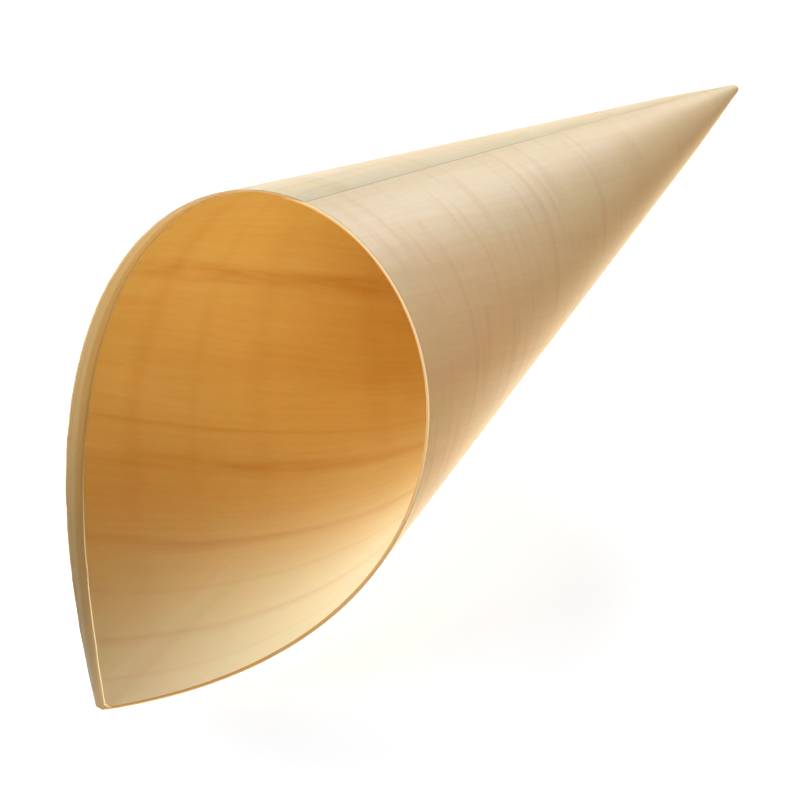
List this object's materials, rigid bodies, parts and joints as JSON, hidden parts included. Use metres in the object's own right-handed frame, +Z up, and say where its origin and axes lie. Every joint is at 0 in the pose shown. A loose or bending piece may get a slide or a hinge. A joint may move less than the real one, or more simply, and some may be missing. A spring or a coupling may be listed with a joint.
{
  "type": "wooden food cone",
  "caption": "Food cone rolled from a nearly square sheet of cross-laid pine veneer, with a glued lap seam, a tall pointed lip and a narrow point, lying on its side.",
  "frame": {"origin": "on the surface that the cone lies on, under the middle of its length and width", "axes": "+Z up; the mouth and its tall tip point towards -Y, the narrow point towards +Y"},
  "size_m": [0.0712, 0.1788, 0.0634],
  "materials": {
    "veneer": "raw rotary-cut pine veneer, satin"
  },
  "bodies": {
    "root": {"veneer_cone": "veneer"}
  },
  "joints": []
}
